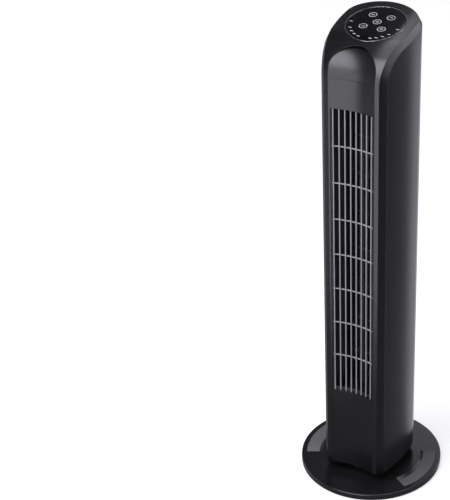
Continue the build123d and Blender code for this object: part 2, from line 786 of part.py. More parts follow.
# Cross-flow impeller: curved blades between end discs, stiffened by rings.
RING_STEP = (IMPELLER_Z[1] - IMPELLER_Z[0] - 1.6) / (RINGS - 1)
with BuildPart() as impeller:
    with BuildSketch(Plane.XY.offset(IMPELLER_Z[0])):
        with Locations((0, AXIS_Y)):
            with PolarLocations(0, BLADES):
                add(blade.sketch)
    extrude(amount=IMPELLER_Z[1] - IMPELLER_Z[0])
    for index in range(RINGS):
        with BuildSketch(Plane.XY.offset(IMPELLER_Z[0] + index * RING_STEP)):
            with Locations((0, AXIS_Y)):
                Circle(IMPELLER_R)
                if 0 < index < RINGS - 1:
                    Circle(BLADE_IN_R - 0.8, mode=Mode.SUBTRACT)
        extrude(amount=1.6)
    with BuildSketch(Plane.XY.offset(IMPELLER_Z[0])):
        with Locations((0, AXIS_Y)):
            Circle(9)
    extrude(amount=14)
    with BuildSketch(Plane.XY.offset(IMPELLER_Z[0] - 1)):
        with Locations((0, AXIS_Y)):
            Circle(3.02)
    extrude(amount=13, mode=Mode.SUBTRACT)
    with BuildSketch(Plane.XY.offset(IMPELLER_Z[1] - 8)):
        with Locations((0, AXIS_Y)):
            Circle(8)
    extrude(amount=8)
    with BuildSketch(Plane.XY.offset(IMPELLER_Z[1] - 6)):
        with Locations((0, AXIS_Y)):
            Circle(3.0)
    extrude(amount=7, mode=Mode.SUBTRACT)
impeller.part.label = "impeller"
export_step(impeller.part, "parts/impeller.step")

# Steel pin pressed into the top of the impeller.
with BuildPart() as top_pin:
    with BuildSketch(Plane.XY.offset(IMPELLER_Z[1] - 5.9)):
        with Locations((0, AXIS_Y)):
            Circle(2.98)
    extrude(amount=BRIDGE_Z + 6.5 - IMPELLER_Z[1] + 5.9)
top_pin.part.label = "top_pin"
export_step(top_pin.part, "parts/top_pin.step")

# ================================================================ main motor
STATOR_Z = (118.0, 146.0)
BRACKET_Z = 168.0
BOLT_OFFSET = 26.0
BOLT_SPOTS = [(x, AXIS_Y + y) for x in (-BOLT_OFFSET, BOLT_OFFSET) for y in (-BOLT_OFFSET, BOLT_OFFSET)]

with BuildPart() as motor_shaft:
    with BuildSketch(Plane.XY.offset(98)):
        with Locations((0, AXIS_Y)):
            Circle(2.98)
    extrude(amount=IMPELLER_Z[0] + 11.5 - 98)
motor_shaft.part.label = "motor_shaft"
export_step(motor_shaft.part, "parts/motor_shaft.step")

with BuildPart() as motor_rotor:
    with BuildSketch(Plane.XY.offset(STATOR_Z[0])):
        with Locations((0, AXIS_Y)):
            Circle(19.5)
            Circle(3.0, mode=Mode.SUBTRACT)
    extrude(amount=STATOR_Z[1] - STATOR_Z[0])
motor_rotor.part.label = "motor_rotor"
export_step(motor_rotor.part, "parts/motor_rotor.step")

with BuildPart() as motor_stator:
    with BuildSketch(Plane.XY.offset(STATOR_Z[0])):
        with Locations((0, AXIS_Y)):
            RectangleRounded(66, 66, 8)
            Circle(20.0, mode=Mode.SUBTRACT)
        for spot in BOLT_SPOTS:
            with Locations(spot):
                Circle(2.15, mode=Mode.SUBTRACT)
    extrude(amount=STATOR_Z[1] - STATOR_Z[0])
motor_stator.part.label = "motor_stator"
export_step(motor_stator.part, "parts/motor_stator.step")

with BuildPart() as motor_windings:
    for level in (STATOR_Z[0] - 8.2, STATOR_Z[1] + 0.2):
        with BuildSketch(Plane.XY.offset(level)):
            with Locations((0, AXIS_Y)):
                Circle(28.5)
                Circle(21.0, mode=Mode.SUBTRACT)
        extrude(amount=8)
    fillet(motor_windings.edges().filter_by(GeomType.CIRCLE), 2.0)
motor_windings.part.label = "motor_windings"
export_step(motor_windings.part, "parts/motor_windings.step")

with BuildPart() as motor_bells:
    for wall_z, end_z in ((STATOR_Z[0], STATOR_Z[0] - 16), (STATOR_Z[1], STATOR_Z[1] + 16)):
        low = min(wall_z, end_z)
        with BuildSketch(Plane.XY.offset(low)):
            with Locations((0, AXIS_Y)):
                Circle(31)
        extrude(amount=16)
        hollow_low = low + (2.0 if end_z < wall_z else 0.0)
        with BuildSketch(Plane.XY.offset(hollow_low)):
            with Locations((0, AXIS_Y)):
                Circle(29.2)
        extrude(amount=14, mode=Mode.SUBTRACT)
        hub_low = end_z if end_z < wall_z else end_z - 7
        with BuildSketch(Plane.XY.offset(hub_low)):
            with Locations((0, AXIS_Y)):
                Circle(11)
        extrude(amount=7)
        with BuildSketch(Plane.XY.offset(low)):
            with Locations((0, AXIS_Y)):
                Circle(8.02)
        extrude(amount=16, mode=Mode.SUBTRACT)
motor_bells.part.label = "motor_bells"
export_step(motor_bells.part, "parts/motor_bells.step")

with BuildPart() as motor_bearings:
    for level in (STATOR_Z[0] - 16, STATOR_Z[1] + 10):
        with BuildSketch(Plane.XY.offset(level)):
            with Locations((0, AXIS_Y)):
                Circle(8.0)
                Circle(3.02, mode=Mode.SUBTRACT)
        extrude(amount=6)
motor_bearings.part.label = "motor_bearings"
export_step(motor_bearings.part, "parts/motor_bearings.step")

# Bracket plate that the motor hangs from, with a lip for the mains board.
with BuildPart() as motor_bracket:
    add(inside_plate(BRACKET_Z, 3.0, 6.0))
    with BuildSketch(Plane.XY.offset(STATOR_Z[1] + 0.1)):
        for spot in BOLT_SPOTS:
            with Locations(spot):
                Circle(4.0)
    extrude(amount=BRACKET_Z - STATOR_Z[1])
    with BuildSketch(Plane.XY.offset(BRACKET_Z - 10)):
        with Locations((0, 63.2)):
            Rectangle(60, 2.4)
    extrude(amount=11)
    with BuildSketch(Plane.XY.offset(STATOR_Z[1])):
        for spot in BOLT_SPOTS:
            with Locations(spot):
                Circle(2.1)
    extrude(amount=40, mode=Mode.SUBTRACT)
    with BuildSketch(Plane.XY.offset(BRACKET_Z - 1)):
        with Locations((0, AXIS_Y)):
            Circle(12)
    extrude(amount=6, mode=Mode.SUBTRACT)
motor_bracket.part.label = "motor_bracket"
export_step(motor_bracket.part, "parts/motor_bracket.step")

with BuildPart() as motor_bolts:
    for spot in BOLT_SPOTS:
        with BuildSketch(Plane.XY.offset(STATOR_Z[0] - 3)):
            with Locations(spot):
                RegularPolygon(3.8, 6)
        extrude(amount=3)
        with BuildSketch(Plane.XY.offset(STATOR_Z[0] - 3)):
            with Locations(spot):
                Circle(2.0)
        extrude(amount=BRACKET_Z + 3 - STATOR_Z[0] + 3)
motor_bolts.part.label = "motor_bolts"
export_step(motor_bolts.part, "parts/motor_bolts.step")

with BuildPart() as run_capacitor:
    with BuildSketch(Plane.XY.offset(BRACKET_Z - 38)):
        with Locations((-52, AXIS_Y)):
            Circle(9)
    extrude(amount=38)
    fillet(run_capacitor.edges().filter_by(GeomType.CIRCLE).sort_by(Axis.Z)[0], 1.5)
run_capacitor.part.label = "run_capacitor"
export_step(run_capacitor.part, "parts/run_capacitor.step")

# Mains board, upright behind the motor, with its parts.
BOARD_Y = 60.0
with BuildPart() as power_board:
    with BuildSketch(Plane.XZ.offset(-BOARD_Y)):
        with Locations((0, 130)):
            Rectangle(70, 68)
    extrude(amount=-1.6)
power_board.part.label = "power_board"
export_step(power_board.part, "parts/power_board.step")

with BuildPart() as board_parts:
    for x, z, wide, tall, deep in (
        (-20, 146, 20, 18, 13),
        (6, 148, 12, 14, 11),
        (24, 146, 10, 20, 9),
        (-18, 112, 26, 9, 10),
        (16, 114, 18, 12, 8),
    ):
        with BuildSketch(Plane.XZ.offset(-(BOARD_Y - 0.05))):
            with Locations((x, z)):
                RectangleRounded(wide, tall, 1)
        extrude(amount=deep)
board_parts.part.label = "board_parts"
export_step(board_parts.part, "parts/board_parts.step")

# ================================================================ swing drive
SWING_CAN_Z = 50.0
with BuildPart() as swing_bracket:
    with BuildSketch(Plane.XY.offset(SWING_CAN_Z - 1.8)):
        with Locations((0, 43)):
            RectangleRounded(76, 46, 4)
        with Locations((0, GEAR_DISTANCE)):
            Circle(4, mode=Mode.SUBTRACT)
    extrude(amount=1.7)
    with BuildSketch(Plane.XY.offset(FLOOR_Z + 3.0)):
        for spot in ((-30, 60), (30, 60), (-33.5, 25), (33.5, 25)):
            with Locations(spot):
                Circle(3.4)
    extrude(amount=SWING_CAN_Z - 1.8 - FLOOR_Z - 3.0 + 0.5)
swing_bracket.part.label = "swing_bracket"
export_step(swing_bracket.part, "parts/swing_bracket.step")

with BuildPart() as swing_motor:
    with BuildSketch(Plane.XY.offset(SWING_CAN_Z)):
        with Locations((0, GEAR_DISTANCE)):
            Circle(24)
    extrude(amount=16)
    fillet(swing_motor.edges().filter_by(GeomType.CIRCLE).sort_by(Axis.Z)[-1], 1.2)
    with BuildSketch(Plane.XY.offset(SWING_CAN_Z + 4)):
        with Locations((-26, GEAR_DISTANCE)):
            Rectangle(10, 14)
    extrude(amount=9)
    with BuildSketch(Plane.XY.offset(SWING_CAN_Z - 1)):
        with Locations((0, GEAR_DISTANCE)):
            Circle(2.6)
    extrude(amount=9, mode=Mode.SUBTRACT)
swing_motor.part.label = "swing_motor"
export_step(swing_motor.part, "parts/swing_motor.step")

with BuildPart() as pinion:
    with Locations((0, GEAR_DISTANCE, 0)):
        add(gear(PINION_TEETH, 2.52, (GEAR_Z[0] + 0.5, GEAR_Z[1] - 0.5), turn=-90.0))
pinion.part.label = "pinion"
export_step(pinion.part, "parts/pinion.step")

with BuildPart() as pinion_shaft:
    with BuildSketch(Plane.XY.offset(GEAR_Z[0] - 1.5)):
        with Locations((0, GEAR_DISTANCE)):
            Circle(2.5)
    extrude(amount=SWING_CAN_Z + 7 - GEAR_Z[0] + 1.5)
pinion_shaft.part.label = "pinion_shaft"
export_step(pinion_shaft.part, "parts/pinion_shaft.step")

# ================================================================ control panel
LENS_THICK = 2.0
BOARD_TOP = -4.2

with BuildPart() as panel_trim:
    add(tower_form(-0.35, TOWER_Z) - tower_form(LENS_THICK, 0.0))
    add(panel_oval(0.0), mode=Mode.INTERSECT)
    add(panel_oval(-1.1), mode=Mode.SUBTRACT)
panel_trim.part.label = "panel_trim"
export_step(panel_trim.part, "parts/panel_trim.step")

with BuildPart() as control_panel:
    add(tower_form(0.0, TOWER_Z) - tower_form(LENS_THICK, 0.0))
    add(panel_oval(-1.2), mode=Mode.INTERSECT)
    with BuildSketch(PANEL.offset(-6)):
        for spot in KEY_SPOTS.values():
            with Locations(spot):
                Circle(KEY_HOLE_R)
    extrude(amount=12, mode=Mode.SUBTRACT)
control_panel.part.label = "control_panel"
export_step(control_panel.part, "parts/control_panel.step")

with BuildPart() as panel_carrier:
    add(tower_form(WALL + 0.05, TOWER_Z) - tower_form(WALL + 1.6, 0.0))
    add(panel_oval(4.0), mode=Mode.INTERSECT)
    add(panel_oval(-1.5), mode=Mode.SUBTRACT)
    add(arch_block(WALL + 0.3) - channel_core(WALL + 0.3), mode=Mode.SUBTRACT)
panel_carrier.part.label = "panel_carrier"
export_step(panel_carrier.part, "parts/panel_carrier.step")

with BuildPart() as control_board:
    with BuildSketch(PANEL.offset(BOARD_TOP - 1.2)):
        with Locations((0, -4)):
            Ellipse(51.6, 49.5)
    extrude(amount=1.2)
control_board.part.label = "control_board"
export_step(control_board.part, "parts/control_board.step")

with BuildPart() as dome_switches:
    for spot in KEY_SPOTS.values():
        with BuildSketch(PANEL.offset(BOARD_TOP)):
            with Locations(spot):
                Circle(3.0)
        extrude(amount=0.45)
dome_switches.part.label = "dome_switches"
export_step(dome_switches.part, "parts/dome_switches.step")

with BuildPart() as indicator_leds:
    for spot in LED_SPOTS:
        with BuildSketch(PANEL.offset(BOARD_TOP)):
            with Locations(spot):
                Rectangle(2.6, 1.8)
        extrude(amount=1.5)
indicator_leds.part.label = "indicator_leds"
export_step(indicator_leds.part, "parts/indicator_leds.step")

with BuildPart() as remote_sensor:
    with BuildSketch(PANEL.offset(BOARD_TOP)):
        with Locations((0, -34)):
            Circle(2.4)
    extrude(amount=1.8)
    fillet(remote_sensor.edges().filter_by(GeomType.CIRCLE).sort_by(Axis.Z)[-1], 0.8)
remote_sensor.part.label = "remote_sensor"
export_step(remote_sensor.part, "parts/remote_sensor.step")


def key(spot):
    """Round key: a flush cap in the panel and a wider collar under it."""
    with BuildPart() as cap:
        with BuildSketch(PANEL.offset(-2.8)):
            with Locations(spot):
                Circle(KEY_R)
        extrude(amount=3.05)
        chamfer(cap.edges().filter_by(GeomType.CIRCLE).sort_by(Axis.Z)[-1], 0.25)
        with BuildSketch(PANEL.offset(-2.8)):
            with Locations(spot):
                Circle(8.7)
        extrude(amount=0.5)
    return cap.part


for key_name, key_spot in KEY_SPOTS.items():
    round_key = key(key_spot)
    round_key.label = key_name
    export_step(round_key, f"parts/{key_name}.step")
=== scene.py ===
import math

import bmesh
import bpy
from mathutils import Matrix, Vector


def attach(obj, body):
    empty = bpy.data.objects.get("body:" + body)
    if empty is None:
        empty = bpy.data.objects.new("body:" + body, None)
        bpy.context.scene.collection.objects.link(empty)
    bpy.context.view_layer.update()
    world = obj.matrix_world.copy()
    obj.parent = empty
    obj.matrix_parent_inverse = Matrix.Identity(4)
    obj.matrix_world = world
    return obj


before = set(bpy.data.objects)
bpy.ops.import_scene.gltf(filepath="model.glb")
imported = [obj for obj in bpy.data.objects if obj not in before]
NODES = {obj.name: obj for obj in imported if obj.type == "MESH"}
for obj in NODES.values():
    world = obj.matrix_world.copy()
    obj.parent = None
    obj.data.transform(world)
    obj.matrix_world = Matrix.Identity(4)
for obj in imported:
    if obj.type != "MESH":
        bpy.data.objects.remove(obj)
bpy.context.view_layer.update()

# ------------------------------------------------------------------ camera
CAM_AZ = math.radians(25.97)        # to the right of straight in front
CAM_OUT = 2.3702                    # level distance from the swivel axis
CAM_UP = 1.8384
CAM_DOWN = math.radians(30.03)
CAM_ROLL = math.radians(0.3)
CAM_LENS = 108.8
CAM_SENSOR = 36
CAM_SHIFT_X = -0.2946               # the fan stands at the right of the frame
CAM_FAR = 50

look = Vector((-math.sin(CAM_AZ), math.cos(CAM_AZ), 0)) * math.cos(CAM_DOWN)
look.z = -math.sin(CAM_DOWN)
side = look.cross(Vector((0, 0, 1))).normalized()
up = side.cross(look).normalized()
cam_x = side * math.cos(CAM_ROLL) + up * math.sin(CAM_ROLL)
cam_y = up * math.cos(CAM_ROLL) - side * math.sin(CAM_ROLL)
cam_data = bpy.data.cameras.new("camera")
camera = bpy.data.objects.new("camera", cam_data)
bpy.context.scene.collection.objects.link(camera)
cam_data.lens = CAM_LENS
cam_data.sensor_width = CAM_SENSOR
cam_data.shift_x = CAM_SHIFT_X
cam_data.clip_end = CAM_FAR
turn = Matrix((cam_x, cam_y, -look)).transposed().to_4x4()
turn.translation = (math.sin(CAM_AZ) * CAM_OUT, -math.cos(CAM_AZ) * CAM_OUT, CAM_UP)
camera.matrix_world = turn
bpy.context.scene.camera = camera


# ------------------------------------------------------------------ materials
DRIFT_STOPS = (0.3, 0.7)            # where a plastic's two tones start and end in the noise
GRAIN_STOPS = (0.25, 0.75)          # the same for a metal
GRAIN_DEPTH = 0.0004
SCRATCH_DEPTH = 0.0002
EDGE_SAMPLES = 4


def principled(tree):
    return next(n for n in tree.nodes if n.type == "BSDF_PRINCIPLED")


def new_material(name):
    mat = bpy.data.materials.new(name)
    mat.use_nodes = True
    return mat, mat.node_tree, principled(mat.node_tree)


def calc(tree, operation, first, second=0):
    """One arithmetic step between two values, each a number or a socket."""
    step = tree.nodes.new("ShaderNodeMath")
    step.operation = operation
    for index, value in enumerate((first, second)):
        if isinstance(value, (int, float)):
            step.inputs[index].default_value = value
        else:
            tree.links.new(value, step.inputs[index])
    return step.outputs["Value"]


def product(tree, *values):
    """All the values multiplied together."""
    total = values[0]
    for value in values[1:]:
        total = calc(tree, "MULTIPLY", total, value)
    return total


def axes(tree, coord):
    """The three object coordinates as separate sockets."""
    split = tree.nodes.new("ShaderNodeSeparateXYZ")
    tree.links.new(coord.outputs["Object"], split.inputs["Vector"])
    return split.outputs["X"], split.outputs["Y"], split.outputs["Z"]


def noise(tree, vector, scale, detail):
    """Noise factor over the given coordinates."""
    texture = tree.nodes.new("ShaderNodeTexNoise")
    texture.inputs["Scale"].default_value = scale
    texture.inputs["Detail"].default_value = detail
    tree.links.new(vector, texture.inputs["Vector"])
    return texture.outputs["Fac"]


def two_tones(tree, shader, factor, stops, dark, light):
    """Base colour that drifts between two tones."""
    ramp = tree.nodes.new("ShaderNodeValToRGB")
    for element, stop, tone in zip(ramp.color_ramp.elements, stops, (dark, light)):
        element.position = stop
        element.color = (*tone, 1)
    tree.links.new(factor, ramp.inputs["Fac"])
    tree.links.new(ramp.outputs["Color"], shader.inputs["Base Color"])


def uneven_gloss(tree, shader, factor, low, high):
    """Roughness that drifts between two values."""
    gloss = tree.nodes.new("ShaderNodeMapRange")
    gloss.inputs["To Min"].default_value = low
    gloss.inputs["To Max"].default_value = high
    tree.links.new(factor, gloss.inputs["Value"])
    tree.links.new(gloss.outputs["Result"], shader.inputs["Roughness"])


def relief(tree, factor, strength, depth, under=None):
    """Bumped normal over an optional normal underneath."""
    rise = tree.nodes.new("ShaderNodeBump")
    rise.inputs["Strength"].default_value = strength
    rise.inputs["Distance"].default_value = depth
    tree.links.new(factor, rise.inputs["Height"])
    if under:
        tree.links.new(under, rise.inputs["Normal"])
    return rise.outputs["Normal"]


def soft_edge(tree, radius):
    """Normal that rounds off sharp edges."""
    soft = tree.nodes.new("ShaderNodeBevel")
    soft.samples = EDGE_SAMPLES
    soft.inputs["Radius"].default_value = radius
    return soft.outputs["Normal"]


def soft_crown(tree, coord, fullness, under):
    """Normals as if the face were slightly domed across its width, fuller towards its edges."""
    across = axes(tree, coord)[0]
    square = product(tree, across, across)
    return relief(tree, product(tree, product(tree, square, square), -fullness), 1.0, 1.0, under)


def plastic(name, dark, light, rough=0.3, rough_spread=0.05, grain=900.0, bump=0.03,
            specular=0.25, edge=0.0006, mottle=9.0, crown=0.0):
    """Moulded plastic: faint colour drift, uneven gloss, fine grain and softened edges."""
    mat, tree, shader = new_material(name)
    coord = tree.nodes.new("ShaderNodeTexCoord")
    drift = noise(tree, coord.outputs["Object"], mottle, 3.0)
    two_tones(tree, shader, drift, DRIFT_STOPS, dark, light)
    uneven_gloss(tree, shader, drift, rough - rough_spread, rough + rough_spread)
    normal = soft_edge(tree, edge) if edge else None
    if crown:
        normal = soft_crown(tree, coord, crown, normal)
    fine = noise(tree, coord.outputs["Object"], grain, 2.0)
    tree.links.new(relief(tree, fine, bump, GRAIN_DEPTH, normal), shader.inputs["Normal"])
    shader.inputs["Specular IOR Level"].default_value = specular
    return mat


def metal(name, dark, light, rough=0.2, stretch=(1.0, 1.0, 40.0), scratch=60.0, bump=0.05, edge=0.0003):
    """Metal with a drawn or rolled grain that runs across the stretched axis."""
    mat, tree, shader = new_material(name)
    coord = tree.nodes.new("ShaderNodeTexCoord")
    mapping = tree.nodes.new("ShaderNodeMapping")
    mapping.inputs["Scale"].default_value = stretch
    tree.links.new(coord.outputs["Object"], mapping.inputs["Vector"])
    grain = noise(tree, mapping.outputs["Vector"], scratch, 4.0)
    two_tones(tree, shader, grain, GRAIN_STOPS, dark, light)
    uneven_gloss(tree, shader, grain, rough * 0.75, rough * 1.3)
    normal = relief(tree, grain, bump, SCRATCH_DEPTH, soft_edge(tree, edge))
    tree.links.new(normal, shader.inputs["Normal"])
    shader.inputs["Metallic"].default_value = 1.0
    return mat


def paint_zone(mat, zone, colour):
    """A second colour inside a zone of the piece, given by a function of its own axes."""
    tree = mat.node_tree
    shader = principled(tree)
    coord = next(n for n in tree.nodes if n.type == "TEX_COORD")
    mask = zone(tree, *axes(tree, coord))
    mix = tree.nodes.new("ShaderNodeMix")
    mix.data_type = "RGBA"
    colour_in = [i for i in mix.inputs if i.type == "RGBA"]
    colour_out = next(o for o in mix.outputs if o.type == "RGBA")
    base = shader.inputs["Base Color"].links[0].from_socket
    tree.links.new(mask, mix.inputs["Factor"])
    tree.links.new(base, colour_in[0])
    colour_in[1].default_value = (*colour, 1)
    tree.links.new(colour_out, shader.inputs["Base Color"])


RAMP_RADII = (0.1016, 0.1262)       # the hollows of the base, from the swivel axis
RAMP_TOP = 0.01292
RAIL_HALF = 0.0392                  # the rails' zone, across and upwards
RAIL_ZONE = (0.2088, 0.7732)


def ramp_zone(tree, x, y, z):
    """The satin ramps in the two hollows of the base."""
    radius = calc(tree, "SQRT", calc(tree, "ADD", product(tree, x, x), product(tree, y, y)))
    outside = calc(tree, "GREATER_THAN", radius, RAMP_RADII[0])
    inside = calc(tree, "LESS_THAN", radius, RAMP_RADII[1])
    below = calc(tree, "LESS_THAN", z, RAMP_TOP)
    return product(tree, outside, inside, below)


def rail_zone(tree, x, y, z):
    """The level rails, without the border of the frame."""
    across = calc(tree, "LESS_THAN", calc(tree, "ABSOLUTE", x), RAIL_HALF)
    above = calc(tree, "GREATER_THAN", z, RAIL_ZONE[0])
    under = calc(tree, "LESS_THAN", z, RAIL_ZONE[1])
    return product(tree, across, above, under)


CROWN = 420.0
RAMP_PAINT = (0.165, 0.165, 0.175)
RAIL_PAINT = (0.5, 0.5, 0.53)

front_plastic = plastic("front_plastic", (0.0018, 0.0018, 0.0024), (0.003, 0.003, 0.0036),
                        rough=0.27, crown=CROWN)
side_plastic = plastic("side_plastic", (0.0035, 0.0035, 0.0042), (0.0055, 0.0055, 0.0062), rough=0.25)
matt_plastic = plastic("matt_plastic", (0.006, 0.006, 0.007), (0.010, 0.010, 0.011),
                       rough=0.5, grain=1500)
base_plastic = plastic("base_plastic", (0.011, 0.011, 0.012), (0.0135, 0.0135, 0.0148),
                       rough=0.17, rough_spread=0.03, bump=0.01, specular=0.2)
paint_zone(base_plastic, ramp_zone, RAMP_PAINT)
frame_two_tone = plastic("frame_two_tone", (0.006, 0.006, 0.007), (0.010, 0.010, 0.011),
                         rough=0.4, edge=0.0)
paint_zone(frame_two_tone, rail_zone, RAIL_PAINT)
panel_plastic = plastic("panel_plastic", (0.002, 0.002, 0.0025), (0.003, 0.003, 0.0035),
                        rough=0.16, rough_spread=0.02, bump=0.005, specular=0.15, crown=CROWN)
key_plastic = plastic("key_plastic", (0.002, 0.002, 0.0025), (0.003, 0.003, 0.0035),
                      rough=0.2, bump=0.005, specular=0.15)
pale_print = plastic("pale_print", (0.8, 0.8, 0.82), (0.88, 0.88, 0.9), rough=0.4, edge=0.0, bump=0.01)
rod_silver = plastic("rod_silver", (0.26, 0.26, 0.28), (0.34, 0.34, 0.36),
                     rough=0.32, edge=0.0, bump=0.01)
duct_plastic = plastic("duct_plastic", (0.010, 0.010, 0.011), (0.016, 0.016, 0.017), rough=0.55)
nylon = plastic("nylon", (0.62, 0.60, 0.54), (0.72, 0.70, 0.64), rough=0.45)
rubber = plastic("rubber", (0.012, 0.012, 0.012), (0.022, 0.022, 0.022), rough=0.75, grain=700, bump=0.15)
board_green = plastic("board_green", (0.008, 0.075, 0.030), (0.012, 0.11, 0.045), rough=0.35)
component_black = plastic("component_black", (0.012, 0.012, 0.012), (0.03, 0.03, 0.03), rough=0.5)
can_white = plastic("can_white", (0.55, 0.55, 0.52), (0.68, 0.68, 0.64), rough=0.4)
led_diffuser = plastic("led_diffuser", (0.7, 0.7, 0.68), (0.85, 0.85, 0.82), rough=0.4)
sensor_filter = plastic("sensor_filter", (0.02, 0.004, 0.01), (0.04, 0.008, 0.016), rough=0.15)
trim_metal = metal("trim_metal", (0.26, 0.26, 0.28), (0.38, 0.38, 0.40), rough=0.2, bump=0.02)
zinc = metal("zinc", (0.42, 0.42, 0.44), (0.62, 0.62, 0.63), rough=0.32)
iron = metal("iron", (0.06, 0.06, 0.065), (0.12, 0.12, 0.125), rough=0.6, bump=0.3)
laminated = metal("laminated", (0.12, 0.12, 0.13), (0.26, 0.26, 0.27),
                  rough=0.45, stretch=(1, 1, 120), bump=0.4)
copper = metal("copper", (0.45, 0.15, 0.06), (0.68, 0.28, 0.12),
               rough=0.35, stretch=(30, 30, 200), bump=0.5)
alloy = metal("alloy", (0.45, 0.45, 0.46), (0.6, 0.6, 0.61), rough=0.38)
bronze = metal("bronze", (0.42, 0.27, 0.11), (0.6, 0.42, 0.2), rough=0.4)

LOOKS = {
    "front_housing": front_plastic, "rear_housing": side_plastic, "base_cover": base_plastic,
    "control_panel": panel_plastic, "panel_trim": trim_metal, "grille_bars": rod_silver,
    "grille_frame": frame_two_tone, "intake_grille": matt_plastic,
    "base_plate": matt_plastic, "base_weight": iron, "foot_ring": rubber, "base_screws": zinc,
    "cord_gland": rubber, "pedestal": matt_plastic, "pedestal_screws": zinc, "glide_ring": nylon,
    "fixed_gear": nylon, "gear_screw": zinc, "tower_floor": matt_plastic, "air_duct": duct_plastic,
    "housing_screws": iron, "bearing_bridge": alloy, "upper_bush": bronze, "motor_stator": laminated,
    "motor_windings": copper, "motor_bells": alloy, "motor_bearings": zinc, "motor_bracket": duct_plastic,
    "motor_bolts": zinc, "run_capacitor": can_white, "power_board": board_green,
    "board_parts": component_black, "swing_bracket": zinc, "swing_motor": alloy,
    "panel_carrier": matt_plastic, "control_board": board_green, "dome_switches": zinc,
    "indicator_leds": led_diffuser, "remote_sensor": sensor_filter, "impeller": duct_plastic,
    "top_pin": zinc, "motor_shaft": zinc, "motor_rotor": laminated, "pinion": nylon, "pinion_shaft": zinc,
    "key_power": key_plastic, "key_speed": key_plastic, "key_timer": key_plastic,
    "key_mode": key_plastic, "key_swing": key_plastic,
}
for name, obj in NODES.items():
    obj.data.materials.clear()
    obj.data.materials.append(LOOKS[name])


# ------------------------------------------------------------------ printed marks
SLOPE = math.radians(10)
PANEL_MIDDLE = Vector((0, 0.0142, 0.902287))      # middle key, on the sloping cap
NOSE_CENTRE = (-0.0162, 0.828081)                 # y and z of the rounding in front of the slope
NOSE_RADIUS = 0.0678
UP_SLOPE = Vector((0, math.cos(SLOPE), math.sin(SLOPE)))
OFF_SLOPE = Vector((0, -math.sin(SLOPE), math.cos(SLOPE)))
KEY_TOP = 0.00025                   # the keys stand this far over the panel plane
PRINT_GAP = 0.00001
PRINT_THICK = 0.00004
WELD = 0.000002
KEY_PLACES = {
    "power": (0.0, 0.0), "speed": (-0.0169, -0.0193), "timer": (0.0169, -0.0193),
    "mode": (-0.0169, 0.0193), "swing": (0.0169, 0.0193),
}


def on_key(u, v, lift):
    """Point over the key plane, u to the right and v up the slope."""
    return PANEL_MIDDLE + Vector((u, 0, 0)) + UP_SLOPE * v + OFF_SLOPE * (KEY_TOP + lift)


def on_cap(u, v, lift):
    """Point over the panel face, which rolls forward with the nose."""
    flat = PANEL_MIDDLE + Vector((u, 0, 0)) + UP_SLOPE * v
    ahead = flat.y - NOSE_CENTRE[0]
    if ahead >= -NOSE_RADIUS * math.sin(SLOPE):
        return flat + OFF_SLOPE * lift
    reach = NOSE_RADIUS + lift
    return Vector((u, flat.y, NOSE_CENTRE[1] + math.sqrt(reach * reach - ahead * ahead)))


def stroke(points, width, closed=False):
    """Quads along a line of (u, v) points."""
    quads = []
    rails = []
    count = len(points)
    for index, (u, v) in enumerate(points):
        if closed:
            before, after = points[index - 1], points[(index + 1) % count]
        else:
            before, after = points[max(index - 1, 0)], points[min(index + 1, count - 1)]
        run = Vector((after[0] - before[0], after[1] - before[1])).normalized() * width / 2
        rails.append(((u - run.y, v + run.x), (u + run.y, v - run.x)))
    for index in range(count if closed else count - 1):
        near, far = rails[index], rails[(index + 1) % count]
        quads.append((near[0], near[1], far[1], far[0]))
    return quads


def arc(centre, radius, start, end, steps=24):
    """Points on an arc, angles in degrees."""
    turns = [math.radians(start + (end - start) * k / steps) for k in range(steps + 1)]
    return [(centre[0] + radius * math.cos(t), centre[1] + radius * math.sin(t)) for t in turns]


def printed(name, quads, place, surface, body):
    """Thin raised print made of quads laid on a surface."""
    mesh = bmesh.new()
    for quad in quads:
        mesh.faces.new([
            mesh.verts.new(surface(place[0] + u, place[1] + v, PRINT_GAP)) for u, v in quad
        ])
    bmesh.ops.remove_doubles(mesh, verts=mesh.verts, dist=WELD)
    bmesh.ops.recalc_face_normals(mesh, faces=mesh.faces)
    sheet = list(mesh.faces)
    for face in sheet:
        if face.normal.dot(OFF_SLOPE) < 0:
            face.normal_flip()
    raised = bmesh.ops.extrude_face_region(mesh, geom=sheet)["geom"]
    for vert in (item for item in raised if isinstance(item, bmesh.types.BMVert)):
        vert.co += OFF_SLOPE * PRINT_THICK
    bmesh.ops.recalc_face_normals(mesh, faces=mesh.faces)
    data = bpy.data.meshes.new(name)
    mesh.to_mesh(data)
    mesh.free()
    piece = bpy.data.objects.new(name, data)
    bpy.context.scene.collection.objects.link(piece)
    data.materials.append(pale_print)
    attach(piece, body)


LINE = 0.0007
STEP_WIDTH = 0.0009
WAVE_PITCH = 0.00075
WAVE_RISE = 0.0009
WAVE_HEIGHT = 0.00045


def wave(rise):
    """Ripple across a key at the given height."""
    return [(u * WAVE_PITCH, rise + WAVE_HEIGHT * math.sin(u * 1.6)) for u in range(-4, 5)]


